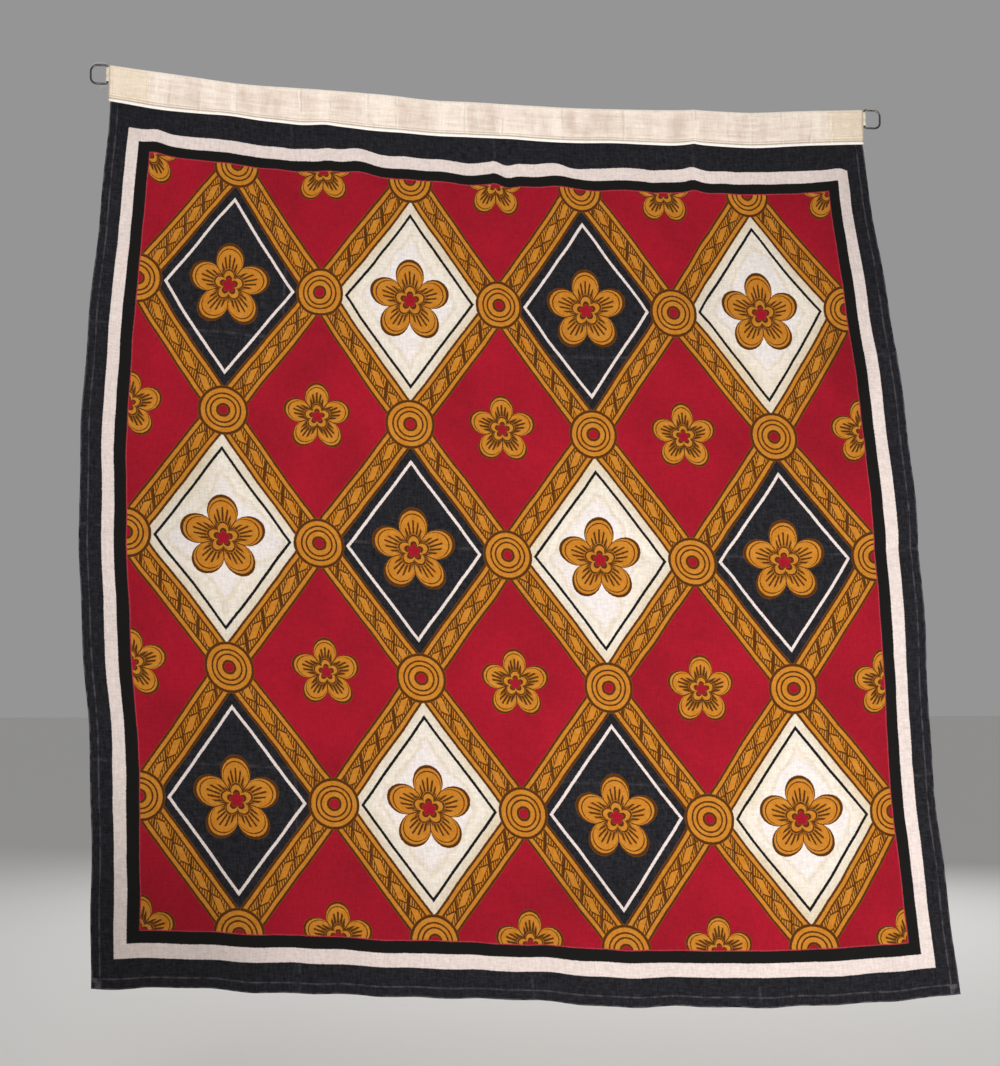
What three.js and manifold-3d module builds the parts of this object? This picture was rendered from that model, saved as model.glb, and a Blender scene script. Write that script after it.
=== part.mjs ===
// A printed cotton flag that was stored folded and is now hung opened out. Its top edge is sewn
// into a cream canvas heading, and a wire ring is held by a tape tab at each end of the heading.
// Millimetres, +Z up, +X to the viewer's right, the printed front towards -Y.
// The origin is the middle of the heading's top edge, which is what the flag hangs from.
import * as THREE from 'three';
import { mergeVertices } from 'three/addons/utils/BufferGeometryUtils.js';
import Module from 'manifold-3d';

const FIT_GAP = 0.3; // left between pieces that touch

// Heading: one strip of canvas folded in half over the panel's top edge
const HEADING_WIDTH = 1120;
const HEADING_HEIGHT = 54.5;
const HEADING_SAG = 23; // its middle hangs this far below its two ends
const HEADING_TILT = 14.5; // its left end hangs this far above the level line, its right end below
const CANVAS_HALF = 2.0; // half of the folded strip's thickness
const END_PATCH_LENGTH = 56; // the ends are sewn double
const END_PATCH_EXTRA = 0.6;
const LIP_HEIGHT = 7; // the turned-in lower edge, on both faces
const LIP_EXTRA = 0.4;
const FOLD_ROUNDING = 0.72; // how full the top fold is between its crown and its sides
const SEAM_DEPTH = 12; // how far the panel reaches up into the fold
const SEAM_CLOTH = 1.2;
const CANVAS_WAVES = [
  { depth: 1.8, length: 610, start: 0.5 },
  { depth: 0.8, length: 233, start: 2 },
];

// The strip isn't straight: its top edge dips between its folds, and it is sewn to an uneven height.
// Each is a smooth hill at a distance across, with its width and rise.
const TOP_HILLS = [
  { at: -365, width: 75, rise: -4.2 },
  { at: -95, width: 50, rise: -2.6 },
  { at: 110, width: 70, rise: -1.2 },
  { at: 385, width: 60, rise: -3.2 },
];
const SEAM_HILLS = [
  { at: -490, width: 45, rise: -2.2 },
  { at: -383, width: 38, rise: 3.6 },
  { at: -285, width: 25, rise: -1.6 },
  { at: -248, width: 15, rise: 1.6 },
  { at: -172, width: 38, rise: -2.2 },
  { at: 22, width: 30, rise: 1 },
  { at: 178, width: 38, rise: 1.6 },
  { at: 265, width: 22, rise: -1 },
  { at: 400, width: 60, rise: -0.9 },
];
const PINCH = { at: 300, width: 10, topRise: 1.8, seamRise: 1.6 }; // one fold stands up sharply

// Panel: one sheet of cotton with a turned hem on three sides
const TOP_WIDTH = 1118; // drawn in a little by the heading
const BOTTOM_WIDTH = 1216;
const SIDE_BULGE = 24; // each side stands out this much further above its middle
const BULGE_PEAK = 0.8; // under 1 lifts the bulge above the middle
const SWING = -7.5; // where they bulge, both sides swing this far, to the left
const WAIST = { at: 0.745, width: 0.12, rise: -5.5 }; // each side comes in again lower down
const DRIFT = 57; // the bottom edge hangs this far to the right of the heading
const LEFT_DROP = 1269.5; // from the origin down to the lower left corner
const RIGHT_DROP = 1294.5;
const HEM_BOW = 25; // the bottom edge's belly below the line of its corners
const CLOTH = 1.5;
const HEM_CLOTH = 2.6;
const HEM_WIDTH = 15;
const HEM_STEP = 2; // over which the hem's thickness runs out
const ACROSS_STEPS = 44;
const DOWN_ROWS = 30;
// rows close together where the sheet leaves the heading, as shares of the length
const UPPER_ROWS = [0.0016, 0.005, 0.022, 0.042, 0.064, 0.088, 0.114];
const FIRST_DOWN_ROW = 0.142;

// How far the sheet leaves its flat plane
const HEADING_HOLD = 0.3; // the share of the length over which the heading's own wave dies away
const DRAPE = { depth: 8, length: 905, start: 0.9, atTop: 0.3 };
const GATHERS = [
  { depth: 4, length: 214, start: 0.4 },
  { depth: 2.4, length: 143, start: 2.2 },
];
const GATHER_REACH = 0.16; // gathers run down from the heading this far, as a share of the length
const FLUTES = [
  { depth: 6, length: 388, start: 2.6 },
  { depth: 2.7, length: 171, start: 0.3 },
];
const EDGE_CURL = { depth: 7, length: 0.83, start: 0.7, lean: 0.2, sharpness: 7 };
const FREE_LENGTH = 0.035; // the heading holds the cloth flat over this share of the length

// Sharp creases left by folding: where they lie across (-1 to 1) or down (0 to 1), and how deep
const CREASE_WIDTH = 26;
const CREASE_FADE = { least: 0.55, change: 0.45, length: 0.7, start: 1.1 };
const UPRIGHT_CREASES = [
  { at: 0, depth: -4.5 },
  { at: 0.533, depth: 4 },
  { at: -0.533, depth: 3 },
];
const LEVEL_CREASES = [
  { at: 0.491, depth: 4 },
  { at: 0.753, depth: -2 },
  { at: 0.259, depth: -1.8 },
];

// Rings and the tape tabs that hold them
const WIRE = 3;
const RING_REACH = 24; // from the straight leg's centre line to the far side's
const RING_HEIGHT = 28; // between the centre lines of its two level legs
const RING_INNER_CORNER = 2.5;
const RING_OUTER_CORNER = 9;
const RING_DROP = 14.5; // from the heading's top corner down to the ring's middle
const TAPE = 0.9;
const TAB_LENGTH = 21;
const TAB_TAIL = 11; // the sewn part, inside the heading's end

const CANVAS_FINISH = { color: 0xf0e1cd, roughness: 0.95, metalness: 0 };
const COTTON_FINISH = { color: 0xa51c2d, roughness: 0.9, metalness: 0 };
const TAPE_FINISH = { color: 0xe9dcc6, roughness: 0.95, metalness: 0 };
const STEEL_FINISH = { color: 0x3a3a3c, roughness: 0.45, metalness: 0.9 };

const HALF_HEADING = HEADING_WIDTH / 2;
const wire = WIRE / 2;
const tabBore = wire + FIT_GAP;
const tabOuter = tabBore + TAPE;
const legOffset = tabOuter + FIT_GAP; // from the heading's end to the ring's straight leg

// Places on the flag are given by u, from -1 at the left edge to 1 at the right one,
// and t, from 0 at the heading's lower edge to 1 at the bottom hem.
const SEWN_EDGE = -1; // the t of the sheet's top edge, which is inside the heading
const crease = (distance, depth, width) => depth * Math.exp(-Math.abs(distance) / width);
const hill = (x, { at, width, rise }) => rise * Math.exp(-(((x - at) / width) ** 2));
const hills = (x, list) => list.reduce((total, one) => total + hill(x, one), 0);
const wave = (distance, { length, start }) => Math.sin((2 * Math.PI * distance) / length + start);
const waves = (distance, list) => list.reduce((total, one) => total + one.depth * wave(distance, one), 0);

function headingTop(u) {
  const x = u * HALF_HEADING;
  const uneven = hills(x, TOP_HILLS) - hills(0, TOP_HILLS) + crease(x - PINCH.at, PINCH.topRise, PINCH.width);
  return HEADING_SAG * u * u - HEADING_TILT * u + uneven;
}

function seamLine(u) {
  const x = u * HALF_HEADING;
  const uneven = hills(x, SEAM_HILLS) + crease(x - PINCH.at, PINCH.seamRise, PINCH.width);
  return headingTop(u) - HEADING_HEIGHT + uneven;
}

function hemLine(u) {
  const across = (u + 1) / 2;
  const corners = LEFT_DROP + (RIGHT_DROP - LEFT_DROP) * across;
  return -corners - HEM_BOW * Math.sin(Math.PI * across * across);
}

const bulge = (t) => Math.sin(Math.PI * Math.pow(t, BULGE_PEAK)) ** 2;

function halfWidth(t) {
  return THREE.MathUtils.lerp(TOP_WIDTH, BOTTOM_WIDTH, t) / 2 + SIDE_BULGE * bulge(t) + hill(t, WAIST);
}

// The heading is stiffer than the panel, so it only waves a little.
const headingWave = (u) => waves(u * HALF_HEADING, CANVAS_WAVES);

// How far the sheet lies behind its flat plane; a place nearer the viewer is negative.
function relief(u, t) {
  const x = u * halfWidth(t);
  const length = LEFT_DROP * t;
  const free = 1 - Math.exp(-t / FREE_LENGTH); // 0 at the heading, 1 a hand's width below it
  const drape = DRAPE.depth * wave(x, DRAPE) * THREE.MathUtils.lerp(DRAPE.atTop, 1, t);
  const gathers = waves(x, GATHERS) * Math.exp(-t / GATHER_REACH);
  const flutes = waves(x, FLUTES) * t ** 3;
  const atEdge = Math.abs(u) ** EDGE_CURL.sharpness;
  const curl = EDGE_CURL.depth * atEdge * wave(t + EDGE_CURL.lean * u, EDGE_CURL);
  const upright = CREASE_FADE.least + CREASE_FADE.change * wave(t, CREASE_FADE);
  let folds = 0;
  for (const { at, depth } of UPRIGHT_CREASES)
    folds += crease(x - at * halfWidth(t), depth * upright, CREASE_WIDTH);
  for (const { at, depth } of LEVEL_CREASES) folds += crease(length - at * LEFT_DROP, depth, CREASE_WIDTH);
  return headingWave(u) * Math.exp(-t / HEADING_HOLD) + free * (drape + gathers + flutes + curl + folds);
}

function sheetPoint(u, t) {
  if (t === SEWN_EDGE)
    return new THREE.Vector3(u * halfWidth(0), headingWave(u), seamLine(u) + SEAM_DEPTH - FIT_GAP);
  const x = DRIFT * t + SWING * bulge(t) + u * halfWidth(t);
  return new THREE.Vector3(x, relief(u, t), THREE.MathUtils.lerp(seamLine(u), hemLine(u), t));
}

// Even steps between two hems, with the hem's inner edge and its step as stations of their own
function hemmedStations(low, high, hem, step, count) {
  const inner = Array.from({ length: count + 1 }, (_, i) =>
    THREE.MathUtils.lerp(low + hem + step, high - hem - step, i / count),
  );
  return [low, low + hem, ...inner, high - hem, high];
}

const hemAcross = HEM_WIDTH / (TOP_WIDTH / 2);
const stepAcross = HEM_STEP / (TOP_WIDTH / 2);
const acrossStations = hemmedStations(-1, 1, hemAcross, stepAcross, ACROSS_STEPS);

// Joins equal rings of points into one closed solid; cap gives the ends' triangles.
function loftSolid(sections, cap) {
  const count = sections[0].length;
  const positions = sections.flat().flatMap((p) => [p.x, p.y, p.z]);
  const index = [];
  for (let s = 0; s + 1 < sections.length; s++)
    for (let i = 0; i < count; i++) {
      const j = (i + 1) % count;
      const [a, b, c, d] = [s * count + i, s * count + j, (s + 1) * count + j, (s + 1) * count + i];
      index.push(a, b, c, a, c, d);
    }
  const last = (sections.length - 1) * count;
  for (const [a, b, c] of cap) index.push(a, c, b, last + a, last + b, last + c);
  const geometry = new THREE.BufferGeometry();
  geometry.setAttribute('position', new THREE.Float32BufferAttribute(positions, 3));
  geometry.setIndex(index);
  return geometry;
}

function panelGeometry() {
  const total = LEFT_DROP - HEADING_HEIGHT;
  const hem = HEM_WIDTH / total;
  const step = HEM_STEP / total;
  const body = Array.from({ length: DOWN_ROWS }, (_, i) =>
    THREE.MathUtils.lerp(FIRST_DOWN_ROW, 1 - hem - step, i / (DOWN_ROWS - 1)),
  );
  const rows = [SEWN_EDGE, 0, ...UPPER_ROWS, ...body, 1 - hem, 1];
  const lastPlain = 1 - hem - step / 2;
  const inSideHem = (u) => Math.abs(u) > 1 - hemAcross - stepAcross / 2;

  const halfThickness = (u, t) => {
    if (t <= UPPER_ROWS[0]) return SEAM_CLOTH / 2;
    return (inSideHem(u) || t > lastPlain ? HEM_CLOTH : CLOTH) / 2;
  };
  const sections = acrossStations.map((u) => {
    const middle = rows.map((t) => sheetPoint(u, t));
    const front = middle.map((p, i) => new THREE.Vector3(p.x, p.y - halfThickness(u, rows[i]), p.z));
    const back = middle.map((p, i) => new THREE.Vector3(p.x, p.y + halfThickness(u, rows[i]), p.z));
    return [...front, ...back.reverse()];
  });
  const count = rows.length;
  const cap = [];
  for (let i = 0; i + 1 < count; i++) {
    const [a, b, c, d] = [i, i + 1, 2 * count - 2 - i, 2 * count - 1 - i];
    cap.push([a, b, c], [a, c, d]);
  }
  return loftSolid(sections, cap);
}

// The folded strip's section, seen from its left end: y to the back and z up from the seam line
function headingSection(u) {
  const fromEnd = HALF_HEADING * (1 - Math.abs(u));
  const height = headingTop(u) - seamLine(u);
  const canvas = CANVAS_HALF + (fromEnd < END_PATCH_LENGTH ? END_PATCH_EXTRA : 0);
  const slot = SEAM_CLOTH / 2 + FIT_GAP;
  const lip = canvas + LIP_EXTRA;
  const side = [
    [slot, SEAM_DEPTH],
    [slot, 0],
    [lip, 0],
    [lip, LIP_HEIGHT],
    [canvas, LIP_HEIGHT + LIP_EXTRA],
    [canvas, height - canvas],
    [canvas * FOLD_ROUNDING, height - canvas * (1 - FOLD_ROUNDING)],
  ];
  const mirrored = side.map(([y, z]) => [-y, z]).reverse();
  return [...side, [0, height], ...mirrored].map(([y, z]) => new THREE.Vector2(y, z));
}

const wasm = await Module();
wasm.setup();

function asManifold(geometry) {
  const plain = new THREE.BufferGeometry();
  plain.setAttribute('position', geometry.getAttribute('position'));
  if (geometry.index) plain.setIndex(geometry.index);
  const merged = mergeVertices(plain, 1e-4);
  const vertProperties = merged.attributes.position.array;
  const triVerts = new Uint32Array(merged.index.array);
  return new wasm.Manifold(new wasm.Mesh({ numProp: 3, vertProperties, triVerts }));
}

function asGeometry(solid) {
  const { vertProperties, triVerts } = solid.getMesh();
  const geometry = new THREE.BufferGeometry();
  geometry.setAttribute('position', new THREE.BufferAttribute(vertProperties, 3));
  geometry.setIndex(new THREE.BufferAttribute(triVerts, 1));
  return geometry;
}

// Where a ring's straight leg stands beside the heading; side is -1 at the left and 1 at the right.
function ringPlace(side) {
  const x = side * (HALF_HEADING + legOffset);
  return new THREE.Vector3(x, headingWave(side), headingTop(side) - RING_DROP);
}

function headingGeometry() {
  const sections = acrossStations.map((u) =>
    headingSection(u).map(({ x, y }) => {
      return new THREE.Vector3(u * HALF_HEADING, headingWave(u) + x, seamLine(u) + y);
    }),
  );
  const cap = THREE.ShapeUtils.triangulateShape(headingSection(-1), []);
  let solid = asManifold(loftSolid(sections, cap));
  for (const side of [-1, 1]) {
    const depth = TAB_TAIL + FIT_GAP;
    const height = TAB_LENGTH + 2 * FIT_GAP;
    const pocket = new THREE.BoxGeometry(2 * depth, 2 * (TAPE + FIT_GAP), height);
    const place = ringPlace(side);
    pocket.translate(side * HALF_HEADING, place.y, place.z);
    solid = solid.subtract(asManifold(pocket));
  }
  return asGeometry(solid);
}

// A strip of tape laid round the ring's leg with both its ends sewn into the heading
function tabGeometry() {
  const tailEnd = -(legOffset + TAB_TAIL);
  const start = Math.asin(TAPE / tabOuter);
  const outline = new THREE.Shape();
  outline.moveTo(tailEnd, -TAPE);
  outline.absarc(0, 0, tabOuter, -Math.PI + start, Math.PI - start, false);
  outline.lineTo(tailEnd, TAPE);
  outline.closePath();
  outline.holes.push(new THREE.Path().absarc(0, 0, tabBore, 0, 2 * Math.PI, true));
  const geometry = new THREE.ExtrudeGeometry(outline, {
    depth: TAB_LENGTH,
    bevelEnabled: false,
    curveSegments: 10,
  });
  return geometry.translate(0, 0, -TAB_LENGTH / 2);
}

// A closed loop of wire: a straight leg with tight corners, and a round far side
function ringGeometry() {
  const [reach, half] = [RING_REACH, RING_HEIGHT / 2];
  const [inner, outer] = [RING_INNER_CORNER, RING_OUTER_CORNER];
  const right = Math.PI / 2;
  const outline = new THREE.Shape();
  outline.moveTo(0, half - inner);
  outline.lineTo(0, -half + inner);
  outline.absarc(inner, -half + inner, inner, 2 * right, 3 * right, false);
  outline.absarc(reach - outer, -half + outer, outer, 3 * right, 4 * right, false);
  outline.absarc(reach - outer, half - outer, outer, 0, right, false);
  outline.absarc(inner, half - inner, inner, right, 2 * right, false);
  const points = outline.getSpacedPoints(44).slice(0, -1);
  const route = new THREE.CatmullRomCurve3(points.map(({ x, y }) => new THREE.Vector3(x, 0, y)), true);
  return new THREE.TubeGeometry(route, 44, wire, 8, true);
}

function named(name, geometry, finish) {
  const mesh = new THREE.Mesh(geometry, new THREE.MeshStandardMaterial(finish));
  mesh.name = name;
  return mesh;
}

const flag = new THREE.Group();
flag.add(named('flag_panel', panelGeometry(), COTTON_FINISH));
flag.add(named('heading', headingGeometry(), CANVAS_FINISH));
for (const [name, side] of [['left', -1], ['right', 1]]) {
  const fitting = new THREE.Group();
  fitting.position.copy(ringPlace(side));
  if (side < 0) fitting.rotation.z = Math.PI;
  fitting.add(named(`ring_tab_${name}`, tabGeometry(), TAPE_FINISH));
  fitting.add(named(`ring_${name}`, ringGeometry(), STEEL_FINISH));
  flag.add(fitting);
}

export default flag;
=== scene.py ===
import math

import bpy
import numpy as np
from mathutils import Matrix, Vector


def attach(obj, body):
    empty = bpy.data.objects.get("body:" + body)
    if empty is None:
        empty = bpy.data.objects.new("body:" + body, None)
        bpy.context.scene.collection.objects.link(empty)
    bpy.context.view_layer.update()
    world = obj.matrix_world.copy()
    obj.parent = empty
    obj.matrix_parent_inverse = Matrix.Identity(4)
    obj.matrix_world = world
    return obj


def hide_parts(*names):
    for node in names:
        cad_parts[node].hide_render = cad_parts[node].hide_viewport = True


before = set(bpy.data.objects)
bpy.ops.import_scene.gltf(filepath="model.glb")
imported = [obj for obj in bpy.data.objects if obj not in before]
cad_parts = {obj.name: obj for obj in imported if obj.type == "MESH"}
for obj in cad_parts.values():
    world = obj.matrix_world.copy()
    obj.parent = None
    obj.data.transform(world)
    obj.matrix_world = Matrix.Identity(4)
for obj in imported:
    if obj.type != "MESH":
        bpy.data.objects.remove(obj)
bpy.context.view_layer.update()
print("frame loaded:", sorted(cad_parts))

mm = 0.001

# the flag is seen almost face on, a little from its left and from below
view = {"lens": 50, "distance": 2.13, "fromLeft": 5.0, "fromBelow": 6.0, "aim": (0.009, 0.0, -0.6413)}


def addObject(name, data):
    made = bpy.data.objects.new(name, data)
    bpy.context.scene.collection.objects.link(made)
    return made


def placeCamera():
    left, below = math.radians(view["fromLeft"]), math.radians(view["fromBelow"])
    away = Vector((-math.sin(left) * math.cos(below), -math.cos(left) * math.cos(below), -math.sin(below)))
    camera = addObject("camera", bpy.data.cameras.new("camera"))
    camera.data.lens = view["lens"]
    camera.data.sensor_width = 36
    camera.location = Vector(view["aim"]) + away * view["distance"]
    camera.rotation_euler = (-away).to_track_quat("-Z", "Y").to_euler()
    bpy.context.scene.camera = camera


placeCamera()
print("camera placed")

# the kinds of node used most, and then those that are one kind with one setting
maths, vectors = "ShaderNodeMath", "ShaderNodeVectorMath"
remap, noise = "ShaderNodeMapRange", "ShaderNodeTexNoise"
split, splitColour, combine = "ShaderNodeSeparateXYZ", "ShaderNodeSeparateColor", "ShaderNodeCombineXYZ"
ramp, bumpMap = "ShaderNodeValToRGB", "ShaderNodeBump"


def kinds(kind, setting, *values):
    return [(kind, {setting: value}) for value in values]


times, timesPlus, plus = kinds(maths, "operation", "MULTIPLY", "MULTIPLY_ADD", "ADD")
minus, over, unsigned = kinds(maths, "operation", "SUBTRACT", "DIVIDE", "ABSOLUTE")
larger, smaller, wrapped, zigzag = kinds(maths, "operation", "MAXIMUM", "MINIMUM", "WRAP", "PINGPONG")
scaled, dotted, vectorLength = kinds(vectors, "operation", "SCALE", "DOT_PRODUCT", "LENGTH")
timesEach, timesPlusEach, minusEach = kinds(vectors, "operation", "MULTIPLY", "MULTIPLY_ADD", "SUBTRACT")
mixNumber, mixColour = kinds("ShaderNodeMix", "data_type", "FLOAT", "RGBA")
flatNoise = (noise, {"noise_dimensions": "2D"})


# sets a node's inputs, by name or by their order among those it shows: each is given a value, a socket or
# another node, whose first shown output is linked
def setInputs(tree, made, inputs):
    shown = [socket for socket in made.inputs if socket.enabled]
    for key, value in inputs.items():
        socket = made.inputs[key] if isinstance(key, str) else shown[key]
        if isinstance(value, bpy.types.Node):
            value = next(output for output in value.outputs if output.enabled)
        if isinstance(value, bpy.types.NodeSocket):
            tree.links.new(value, socket)
        else:
            socket.default_value = value


# adds one node: its inputs in order or as one dictionary, a colour ramp's stops, and its settings
def node(tree, kind, *inputs, stops=(), **settings):
    kind, always = kind if isinstance(kind, tuple) else (kind, {})
    made = tree.nodes.new(kind)
    for name, value in {**always, **settings}.items():
        setattr(made, name, value)
    setInputs(tree, made, inputs[0] if inputs and isinstance(inputs[0], dict) else dict(enumerate(inputs)))
    if stops:
        elements = made.color_ramp.elements
        elements.remove(elements[1])
        elements[0].position, elements[0].color = stops[0]
        for position, colour in stops[1:]:
            elements.new(position).color = colour
    return made


def linear(hexColour):
    parts = [int(hexColour[i:i + 2], 16) / 255 for i in (1, 3, 5)]
    return [p / 12.92 if p <= 0.04045 else ((p + 0.055) / 1.055) ** 2.4 for p in parts] + [1.0]


def newMaterial(name):
    material = bpy.data.materials.new(name)
    material.use_nodes = True
    return material, material.node_tree, material.node_tree.nodes["Principled BSDF"]


# the flag's hang, in millimetres: u runs from -1 to 1 across it, t from 0 at the heading to 1 at the hem
hang = {
    "headingWidth": 1120, "headingHeight": 54.5, "headingSag": 23, "headingTilt": 14.5,
    "topWidth": 1118, "bottomWidth": 1216, "sideBulge": 24, "drift": 57,
    "bulgePeak": 0.8, "swing": -7.5, "waist": (0.745, 0.12, -5.5),
    "leftDrop": 1269.5, "rightDrop": 1294.5, "hemBow": 25,
    # hills of the heading's top edge and of its lower one: across, width and rise
    "topHills": [(-365, 75, -4.2), (-95, 50, -2.6), (110, 70, -1.2), (385, 60, -3.2)],
    "seamHills": [(-490, 45, -2.2), (-383, 38, 3.6), (-285, 25, -1.6), (-248, 15, 1.6), (-172, 38, -2.2),
                  (22, 30, 1), (178, 38, 1.6), (265, 22, -1), (400, 60, -0.9)],
    "pinch": {"at": 300, "width": 10, "topRise": 1.8, "seamRise": 1.6},
    # waves out of the flat: depth, length and start
    "canvasWaves": [(1.8, 610, 0.5), (0.8, 233, 2)], "gathers": [(4, 214, 0.4), (2.4, 143, 2.2)],
    "drape": [(8, 905, 0.9)], "flutes": [(6, 388, 2.6), (2.7, 171, 0.3)], "edgeCurl": [(7, 0.83, 0.7)],
    # how soon below the heading, in t, the cloth hangs free and its waves die out
    "freeReach": 0.035, "gatherReach": 0.16, "canvasReach": 0.3,
    # sharp creases left by folding: where they lie across or down, and how deep
    "uprightCreases": [(0, -4.5), (0.533, 4), (-0.533, 3)],
    "levelCreases": [(0.491, 4), (0.753, -2), (0.259, -1.8)], "creaseWidth": 26,
}


def wave(distance, length, start):
    return np.sin(2 * math.pi * distance / length + start)


def waves(distance, each):
    return sum(depth * wave(distance, length, start) for depth, length, start in each)


def crease(distance, depth, width):
    return depth * np.exp(-np.abs(distance) / width)


def hills(x, each):
    return sum(rise * np.exp(-((x - at) / width) ** 2) for at, width, rise in each)


def pinched(x, rise):
    return crease(x - hang["pinch"]["at"], rise, hang["pinch"]["width"])


def headingTop(u):
    x = u * hang["headingWidth"] / 2
    uneven = hills(x, hang["topHills"]) - hills(0, hang["topHills"]) + pinched(x, hang["pinch"]["topRise"])
    return hang["headingSag"] * u * u - hang["headingTilt"] * u + uneven


def seamRise(u):
    x = u * hang["headingWidth"] / 2
    return hills(x, hang["seamHills"]) + pinched(x, hang["pinch"]["seamRise"])


def seamLine(u):
    return headingTop(u) - hang["headingHeight"] + seamRise(u)


def hemLine(u):
    across = (u + 1) / 2
    corners = hang["leftDrop"] + (hang["rightDrop"] - hang["leftDrop"]) * across
    return -corners - hang["hemBow"] * np.sin(math.pi * across * across)


def bulge(t):
    return np.sin(math.pi * np.power(t, hang["bulgePeak"])) ** 2


def halfWidth(t):
    straight = (hang["topWidth"] * (1 - t) + hang["bottomWidth"] * t) / 2
    return straight + hang["sideBulge"] * bulge(t) + hills(t, [hang["waist"]])


def middleLine(t):
    return hang["drift"] * t + hang["swing"] * bulge(t)


def headingWave(u):
    return waves(u * hang["headingWidth"] / 2, hang["canvasWaves"])


def relief(u, t):
    x = u * halfWidth(t)
    length = hang["leftDrop"] * t
    free = 1 - np.exp(-t / hang["freeReach"])  # 0 at the heading, 1 a hand's width below it
    sheet = waves(x, hang["drape"]) * (0.3 + 0.7 * t)
    sheet = sheet + waves(x, hang["gathers"]) * np.exp(-t / hang["gatherReach"])
    sheet = sheet + waves(x, hang["flutes"]) * t ** 3
    sheet = sheet + np.abs(u) ** 7 * waves(t + 0.2 * u, hang["edgeCurl"])
    for at, depth in hang["uprightCreases"]:
        strength = 0.55 + 0.45 * wave(t, 0.7, 1.1)  # an upright crease fades and comes back
        sheet = sheet + crease(x - at * halfWidth(t), depth * strength, hang["creaseWidth"])
    for at, depth in hang["levelCreases"]:
        sheet = sheet + crease(length - at * hang["leftDrop"], depth, hang["creaseWidth"])
    return headingWave(u) * np.exp(-t / hang["canvasReach"]) + free * sheet


def meshObject(name, points, faces, material):
    mesh = bpy.data.meshes.new(name)
    mesh.from_pydata([tuple(p) for p in points], [], faces)
    mesh.materials.append(material)
    mesh.polygons.foreach_set("use_smooth", [True] * len(mesh.polygons))
    return addObject(name, mesh)


# where each point lies on the flat, unhung piece, for its material
def setPlace(made, places):
    attribute = made.data.attributes.new("place", "FLOAT_VECTOR", "POINT")
    attribute.data.foreach_set("vector", np.asarray(places, dtype=np.float32).ravel())


# equal rings of points joined into one closed skin; a closed chain joins its last ring to its first
def loft(name, sections, material, closed=False):
    count, rings = len(sections[0]), len(sections)
    points = [p for section in sections for p in section]
    faces = []
    for s in range(rings if closed else rings - 1):
        a, b = s * count, (s + 1) % rings * count
        for i in range(count):
            j = (i + 1) % count
            faces.append((a + i, a + j, b + j, b + i))
    if not closed:
        faces.append(tuple(range(count - 1, -1, -1)))
        faces.append(tuple((rings - 1) * count + i for i in range(count)))
    return meshObject(name, points, faces, material)


# the folded canvas strip along the top, in millimetres; its creases are given as across and depth
heading = {
    "stations": 300, "half": 2.0, "inside": 1.0, "endPatch": 56, "patchExtra": 0.6,
    "lip": 4.2, "lipExtra": 0.35, "slot": 0.75, "stitchRows": (4.8, 8.4), "stitchDent": 0.45,
    "creaseWidth": 6, "creaseShare": 0.5,
    "creases": [(-477, 0.5), (-428, -0.7), (-380, 0.5), (-286, 1.5), (-244, 0.4), (-189, 1.0), (-142, -0.6),
                (-82, 0.4), (-41, -0.9), (9, 1.6), (99, 0.6), (197, -0.7), (241, 0.5), (300, 1.7), (349, 0.4),
                (386, 0.6), (437, -0.7), (481, -1.0), (511, 0.5)],
}


def headingPress(x):
    share, width = heading["creaseShare"], heading["creaseWidth"]
    return sum(share * crease(x - at, depth, width) for at, depth in heading["creases"])


# 1 before a place and 0 past it
def softStep(distance, width):
    return 0.5 - 0.5 * math.tanh(distance / width)


# half the strip's thickness at a height above its lower edge; stitches draw it in
def headingHalf(x, z):
    end = hang["headingWidth"] / 2 - abs(x)
    half = heading["half"] + heading["patchExtra"] * softStep(end - heading["endPatch"], 1.2)
    half += heading["lipExtra"] * softStep(z - heading["lip"], 0.6)
    for row in heading["stitchRows"]:
        half -= heading["stitchDent"] * math.exp(-((z - row) / 0.9) ** 2)
    half -= heading["stitchDent"] * math.exp(-((end - heading["endPatch"] + 3) / 1.2) ** 2)
    return half + 0.16 * math.sin(x / 17 + 0.4 * z) * math.sin(z / 9 + x / 61)


# the height of a place on the strip, whose upper half doesn't waver with its lower edge
def headingLevel(x, z):
    u = 2 * x / hang["headingWidth"]
    share = max(0.0, 1 - z / (0.75 * hang["headingHeight"]))
    return headingTop(u) - hang["headingHeight"] + z + seamRise(u) * share


def makeHeading(material):
    width, height, inside = hang["headingWidth"], hang["headingHeight"], heading["inside"]
    heights = [0.9, 2, 3.2, 4, 4.8, 5.6, 6.6, 7.5, 8.4, 9.3, 11, 14] + list(np.linspace(17, height - 4, 10))
    sections, places = [], []
    for x in np.linspace(-width / 2, width / 2, heading["stations"]):
        crown = headingHalf(x, height - 4)
        side = [(headingHalf(x, 0) * 0.75, 0.0)] + [(headingHalf(x, z), z) for z in heights]
        side += [(crown * math.cos(a), height - crown + crown * math.sin(a)) for a in (0.35, 0.8, 1.2)]
        inner = [(heading["slot"], 0.0), (heading["slot"], heading["lip"]), (inside, heading["lip"] + 3)]
        inner += [(inside, z) for z in (18, 28, 38)] + [(inside * 0.9, height - 2.4)]
        ring = side + [(0.0, height)] + [(-y, z) for y, z in reversed(side)]
        ring += [(-y, z) for y, z in inner] + [(0.0, height - 1.6)] + list(reversed(inner))
        middle = headingWave(2 * x / width) + headingPress(x)
        sections.append([(x * mm, (middle + y) * mm, headingLevel(x, z) * mm) for y, z in ring])
        places += [(x * mm, z * mm, 1.0 if y > 0 else 0.0) for y, z in ring]
    made = loft("heading_canvas", sections, material)
    setPlace(made, places)
    return made


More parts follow.
